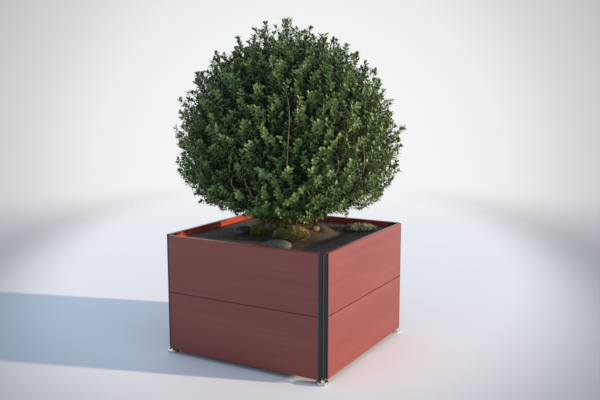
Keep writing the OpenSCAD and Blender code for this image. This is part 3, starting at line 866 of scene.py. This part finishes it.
def make_stems():
    """Thick stems out of the root. Returns their centre lines."""
    thickest, ring, tall = 0.013, 0.026, 0.50
    lines, radii = [], []
    t = np.linspace(0, 1, STEM_RINGS)
    for heading, lean, share in STEMS:
        out = outward(math.radians(heading))
        spread = ring * share + math.tan(math.radians(lean)) * tall * t + 0.10 * t ** 2
        line = out * spread[:, None] + UP * (SOIL_Z + 0.02 + tall * t)[:, None]
        line += np.cross(out, UP) * (0.010 * np.sin(7 * t + heading))[:, None]
        lines.append(line)
        radii.append(thickest * share * (1.15 - 0.55 * t) * (1 + 0.25 * np.exp(-18 * t)))
    piece = tube_piece("shrub_stems_bark", np.array(lines), np.array(radii), 12, LOOKS["bark"])
    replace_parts(piece, "shrub_stems")
    return lines


def make_limbs(lines, count=150):
    """Limbs that leave the nearest stem and curve out to the leaves."""
    rng = np.random.default_rng(SEED + 1)
    goal, _ = spread_over_crown(count, rng)
    goal = CROWN_MID + (goal - CROWN_MID) * 0.84
    heads = np.array([math.atan2(line[10][1], line[10][0]) for line in lines])
    turn = np.arctan2(goal[:, 1], goal[:, 0])
    nearest = np.abs((turn[:, None] - heads[None] + math.pi) % math.tau - math.pi).argmin(1)
    leave = rng.integers(6, STEM_RINGS, count)
    begin = np.array([lines[n][k] for n, k in zip(nearest, leave)])
    # High limbs arch upwards and low ones sag
    arch = 0.05 * np.sign(goal[:, 2:3] - CROWN_Z + 0.15)
    middle = begin + (goal - begin) * 0.45 + UP * arch
    t = np.linspace(0, 1, LIMB_RINGS)[None, :, None]
    path = begin[:, None] * (1 - t) ** 2 + middle[:, None] * 2 * t * (1 - t) + goal[:, None] * t ** 2
    path += rng.normal(0, 0.004, path.shape) * (t > 0) * (t < 1)
    thick = np.tile(np.linspace(0.0050, 0.0016, LIMB_RINGS), (count, 1))
    tube_piece("shrub_limbs", path, thick, 5, LOOKS["bark"])


def make_shade_shell():
    """A dark lumpy shell inside the crown, open to the stems: painted shade for the shrub's inside, which
    closes the view through the leaves.
    """
    around, levels = 120, 64
    turn = np.linspace(0, math.tau, around, endpoint=False)
    verts = []
    for share in np.linspace(0.02, 0.995, levels):
        for p in crown_point(np.full(around, share), turn)[0]:
            lump = noise.fractal(Vector(p) * 9, 0.8, 2.1, 3)
            verts.append(CROWN_MID + (p - CROWN_MID) * (0.82 + 0.04 * lump))
    verts = np.array(verts)
    verts[:, 2] = np.maximum(verts[:, 2], CROWN_FOOT + 0.05)
    quads, tris = shell_faces(around, levels)
    mesh = array_mesh("crown_shade_shell", verts, [tris, quads], np.zeros(len(verts)))
    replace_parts(finish_piece("crown_shade_shell", mesh, SHADE_SHELL_LEAF), "shrub_crown")


def make_leader(shoots=5, leaves=26, tall=0.104):
    """A few shoots that stand out at the very top."""
    rng = np.random.default_rng(SEED + 15)
    base, along, facing, size, tone = [], [], [], [], []
    for _ in range(shoots):
        foot = np.array([*rng.normal(0, 0.016, 2), crown_high.z - 0.098])
        for k in range(leaves):
            at = k / (leaves - 1)
            out = outward(k * 2.4)
            rise = 0.25 + 1.6 * at
            base.append(foot + UP * at * rng.uniform(tall - 0.004, tall + 0.004) + out * 0.001)
            along.append(out + UP * rise + rng.normal(0, 0.1, 3))
            facing.append(UP - out * rise)
            size.append(rng.uniform(0.015, 0.024))
            tone.append(np.clip(0.25 + 0.3 * at + rng.normal(0, 0.08), 0, 1))
    parts = [np.array(a) for a in (base, along, facing, size, tone)]
    leaf_piece("crown_leader", parts, LOOKS["leaves"])


def make_crown():
    few = 1.0
    # tone_mid falls from the outer layers to the inner ones: older leaves deeper in, and painted shade for
    # the crown's depth
    make_sprigs("crown_heads", int(1080 * few), SEED + 10, depth=(0.95, 1.025), reach=(0.090, 0.140),
                nodes=12, leaf=0.0255, tone_mid=0.62, stems=YOUNG_STEM, bunch=3)
    make_leader()
    make_sprigs("crown_strays", int(130 * few), SEED + 13, depth=(1.00, 1.045), reach=(0.090, 0.140),
                nodes=8, leaf=0.0240, tone_mid=0.66, stems=YOUNG_STEM, sectors=1)
    make_sprigs("crown_shoots", int(1700 * few), SEED + 11, depth=(0.87, 0.945), reach=(0.080, 0.120),
                nodes=8, leaf=0.0240, tone_mid=0.40, stems=YOUNG_STEM)
    make_sprigs("crown_inner", int(1500 * few), SEED + 12, depth=(0.77, 0.87), reach=(0.060, 0.100),
                nodes=5, leaf=0.0240, tone_mid=0.18, sectors=3)


def make_skirt(count=1400):
    """Old yellowing leaves low down, round the stems."""
    rng = np.random.default_rng(SEED + 3)
    turn = rng.uniform(0, math.tau, count)
    rise = rng.random(count)
    radius = (0.035 + 0.115 * rng.random(count) ** 0.7) * (1 + 0.9 * rise ** 2)
    z = CROWN_FOOT - 0.028 + 0.085 * rise
    base = np.stack([radius * np.cos(turn), radius * np.sin(turn), z], -1)
    along = unit(unit(base * LEVEL) * 0.8 + rng.normal(0, 0.55, (count, 3)))
    facing = unit(UP + rng.normal(0, 0.5, (count, 3)))
    size = rng.uniform(0.014, 0.022, count)
    tone = np.clip(rng.normal(0.5, 0.22, count), 0, 1)
    leaf_piece("crown_skirt", (base, along, facing, size, tone), OLD_LEAF)


make_limbs(make_stems())
make_canes()
make_shade_shell()
make_crown()
make_skirt()


# ---------- low plants ----------

def shade_dome(mid, radius, height, start):
    """A dark solid dome that fills a cushion, painted shade for its inside: vertices, quads and triangles,
    numbered from start.
    """
    around, levels = 20, 9
    turn = np.linspace(0, math.tau, around, endpoint=False)
    rise = np.linspace(-0.25, math.pi / 2 * 0.95, levels)
    verts = np.stack([np.outer(np.cos(rise), np.cos(turn)) * radius + mid[0],
                      np.outer(np.cos(rise), np.sin(turn)) * radius + mid[1],
                      np.outer(np.sin(rise) * height + mid[2], np.ones(around))], -1).reshape(-1, 3)
    return verts, *shell_faces(around, levels, start)


def make_cushion(node, domes, seed, density=2.4e5, size=0.0120):
    """Small leaves packed all over one or more domes: (x, y, radius, height, level of the ground)."""
    rng = np.random.default_rng(seed)
    base, along, facing, length, tone = [], [], [], [], []
    for x, y, radius, height, level in domes:
        mid = np.array([x, y, SOIL_Z + level])
        shape = np.array([radius, radius, height])
        count = int(density * radius * (radius + height) * math.pi)
        z = rng.uniform(-0.05, 1.0, count)
        turn = rng.uniform(0, math.tau, count)
        flat = np.sqrt(1 - z ** 2)
        ball = np.stack([flat * np.cos(turn), flat * np.sin(turn), z], -1)
        lump = np.array([noise.noise(Vector(p) * 3.1 + Vector((seed, 0, 0))) for p in ball])
        inset = rng.uniform(0.80, 0.94, count) + 0.05 * lump
        base.append(mid + ball * shape * inset[:, None])
        normal = unit(ball / shape)
        along.append(unit(normal + 0.5 * UP + rng.normal(0, 0.42, (count, 3))))
        facing.append(unit(rng.normal(0, 1, (count, 3)) + 0.8 * UP))
        length.append(size * rng.uniform(0.7, 1.2, count))
        # Leaves set deeper and lower are darker: painted shade; a random 30 per cent are lighter
        tone.append(np.clip(0.05 + 0.35 * np.clip((inset - 0.8) / 0.16, 0, 1) + 0.15 * z
                            + 0.45 * (rng.random(count) < 0.30) + rng.normal(0, 0.10, count), 0, 1))
    parts = (np.concatenate(a) for a in (base, along, facing, length, tone))
    verts, tris, quads, tones = place_leaves(*parts, width=0.15)
    inner = 0.84
    for x, y, radius, height, level in domes:
        # The dark dome takes the darkest tone: painted shade
        core, more_quads, more_tris = shade_dome((x, y, SOIL_Z + level), radius * inner, height * inner,
                                                len(verts))
        verts, tones = np.concatenate([verts, core]), np.concatenate([tones, np.full(len(core), 0.05)])
        quads, tris = np.concatenate([quads, more_quads]), np.concatenate([tris, more_tris])
    mesh = array_mesh(node + "_foliage", verts, [tris, quads], tones)
    piece = finish_piece(node + "_foliage", mesh, LOOKS["moss"])
    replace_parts(piece, node)


# Radii of a blade of grass from foot to tip
BLADE_THICK = (0.0012, 0.0017, 0.0017, 0.0015, 0.0010, 0.0002)


def make_grass(node, count, seed):
    """A low clump of fine blades that spread from its middle."""
    rng = np.random.default_rng(seed)
    low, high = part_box(node)
    middle = (low + high) / 2
    reach, tall = (high.x - low.x) / 2, high.z - SOIL_Z
    turn = rng.uniform(0, math.tau, count)
    spread = rng.random(count) ** 0.5
    out = outward(turn)
    foot = out * (spread * reach * 1.05)[:, None] + np.array([middle.x, middle.y, SOIL_Z - 0.003])
    length = tall * (1.0 - 0.35 * spread ** 2) * rng.uniform(0.50, 1.10, count)
    lean = unit(out + rng.normal(0, 0.7, (count, 3)) * LEVEL)
    away = lean * (length * (0.20 + 0.60 * spread))[:, None]
    t = np.linspace(0, 1, len(BLADE_THICK))
    path = (foot[:, None] + away[:, None] * (t ** 1.5)[None, :, None]
            + UP * (length[:, None] * (t - 0.10 * t ** 3))[..., None])
    thick = np.tile(BLADE_THICK, (count, 1))
    verts, quads, caps = tubes(path, thick, 3)
    tones = np.repeat(np.clip(rng.uniform(-0.25, 0.45, count)[:, None] + 0.6 * t, 0, 1), 3, 1).ravel()
    mesh = array_mesh(node + "_blades", verts, [quads, caps], tones)
    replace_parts(finish_piece(node + "_blades", mesh, GRASS), node)


make_cushion("tuft_front", ((0.125, -0.128, 0.069, 0.056, 0.018), (0.034, -0.130, 0.046, 0.040, 0.014),
                            (0.080, -0.134, 0.038, 0.036, 0.014)), SEED + 11)
make_cushion("tuft_left", ((-0.150, -0.085, 0.042, 0.060, 0.0),), SEED + 12)
make_grass("tuft_right", 620, SEED + 13)


# ---------- floor, light and camera ----------

VIEW_TURN, VIEW_DOWN = math.radians(29.60), math.radians(8.60)
CAMERA_AT, LENS, SENSOR = (2.1226, -3.6018, 1.4665), 44.67, 36
SUN_TURN, SUN_UP = math.radians(18.1), math.radians(8.0)
FLOOR_R, FLOOR_SIDES = 60.0, 96
# The pool of light on the floor, and where the floor fades away
POOL_AT, POOL_HALF = (-1.48, 2.61, 0), (2.3, 4.4, 1)
FADE_FROM, FADE_TO = 1.6, 7.5


def heading(turn, up):
    """A unit vector at a turn from X towards Y, and at an angle above the floor."""
    return Vector((math.cos(turn) * math.cos(up), math.sin(turn) * math.cos(up), math.sin(up)))


def make_floor():
    """The pale studio floor. Returns a collection with it, for the sun that lights it alone."""
    mesh = bpy.data.meshes.new("studio_floor")
    turns = [math.tau * i / FLOOR_SIDES for i in range(FLOOR_SIDES)]
    mesh.from_pydata([FLOOR_R * heading(turn, 0) for turn in turns], [], [tuple(range(FLOOR_SIDES))])
    floor = bpy.data.objects.new("studio_floor", mesh)
    bpy.context.scene.collection.objects.link(floor)
    look = Look("studio_floor", 0.6, specular=0.2)
    pale = look.mix(look.noise(1.5, 3), (0.86, 0.86, 0.87), (0.90, 0.90, 0.905))
    # A soft oval pool of light round the object
    oval = look.add("Mapping")
    oval.vector_type = "TEXTURE"
    oval.inputs["Location"].default_value = POOL_AT
    oval.inputs["Rotation"].default_value = (0, 0, VIEW_TURN)
    oval.inputs["Scale"].default_value = POOL_HALF
    look.links.new(look.place, oval.inputs["Vector"])
    dim = look.step(look.length(oval.outputs["Vector"]), 0.80, 1.20)
    pool = look.mix(dim, pale, (0.27, 0.28, 0.31))
    # Seen directly it is pale, but it throws less light back
    seen = look.add("LightPath").outputs["Is Camera Ray"]
    look.colour(look.mix(seen, (0.60, 0.60, 0.61), pool))
    clear = look.add("BsdfTransparent")
    both = look.add("MixShader")
    look.links.new(look.step(look.length(look.place), FADE_FROM, FADE_TO), both.inputs["Fac"])
    look.links.new(look.shader.outputs["BSDF"], both.inputs[1])
    look.links.new(clear.outputs["BSDF"], both.inputs[2])
    look.links.new(both.outputs["Shader"], look.nodes["Material Output"].inputs["Surface"])
    mesh.materials.append(look.material)
    lit = bpy.data.collections.new("floor_light")
    lit.objects.link(floor)
    return lit


def make_world():
    """A pale backdrop that dims away from the view's middle, a bluish fill and bright reflections."""
    world = bpy.data.worlds.new("studio")
    bpy.context.scene.world = world
    world.use_nodes = True
    nodes, links = world.node_tree.nodes, world.node_tree.links
    backdrop = nodes["Background"]
    towards = nodes.new("ShaderNodeVectorMath")
    towards.operation = "DOT_PRODUCT"
    towards.inputs[1].default_value = (-math.sin(VIEW_TURN) * math.cos(VIEW_DOWN),
                                       math.cos(VIEW_TURN) * math.cos(VIEW_DOWN), -math.sin(VIEW_DOWN) * 0.85)
    links.new(nodes.new("ShaderNodeTexCoord").outputs["Generated"], towards.inputs[0])
    spread = nodes.new("ShaderNodeMapRange")
    spread.inputs["From Min"].default_value = 0.90
    links.new(towards.outputs["Value"], spread.inputs["Value"])
    tones = nodes.new("ShaderNodeValToRGB")
    set_stops(tones, [(0.0, (0.54, 0.53, 0.52)), (0.30, (0.66, 0.66, 0.68)), (0.60, (0.85, 0.85, 0.85)),
                      (0.80, (0.90, 0.90, 0.915)), (1.0, (0.92, 0.92, 0.935))])
    links.new(spread.outputs["Result"], tones.inputs["Fac"])
    links.new(tones.outputs["Color"], backdrop.inputs["Color"])
    shine, fill = nodes.new("ShaderNodeBackground"), nodes.new("ShaderNodeBackground")
    shine.inputs["Color"].default_value = (0.86, 0.865, 0.885, 1)
    fill.inputs["Color"].default_value = (0.66, 0.83, 1.05, 1)
    fill.inputs["Strength"].default_value = 0.72
    path = nodes.new("ShaderNodeLightPath")
    last = fill
    for ray, light in (("Is Glossy Ray", shine), ("Is Camera Ray", backdrop)):
        both = nodes.new("ShaderNodeMixShader")
        links.new(path.outputs[ray], both.inputs["Fac"])
        links.new(last.outputs[0], both.inputs[1])
        links.new(light.outputs[0], both.inputs[2])
        last = both
    links.new(last.outputs[0], nodes["World Output"].inputs["Surface"])


def make_sun(name, energy, only_on=None):
    """A low warm sun from the right. only_on: a collection that it alone lights."""
    data = bpy.data.lights.new(name, "SUN")
    data.energy = energy
    data.color = (1.0, 0.79, 0.60)
    data.angle = math.radians(2.0)
    sun = bpy.data.objects.new(name, data)
    bpy.context.scene.collection.objects.link(sun)
    towards = heading(SUN_TURN, SUN_UP)
    sun.rotation_euler = towards.to_track_quat("Z", "Y").to_euler()
    sun.location = towards * 8
    if only_on:
        sun.light_linking.receiver_collection = only_on


def make_camera():
    data = bpy.data.cameras.new("camera")
    data.lens = LENS
    data.sensor_width = SENSOR
    camera = bpy.data.objects.new("camera", data)
    camera.location = CAMERA_AT
    camera.rotation_euler = (math.pi / 2 - VIEW_DOWN, 0, VIEW_TURN)
    bpy.context.scene.collection.objects.link(camera)
    bpy.context.scene.camera = camera
    bpy.context.scene.view_settings.view_transform = "Standard"


make_sun("low_sun", 4.3)
make_sun("low_sun_on_floor", 4.6, make_floor())
make_world()
make_camera()
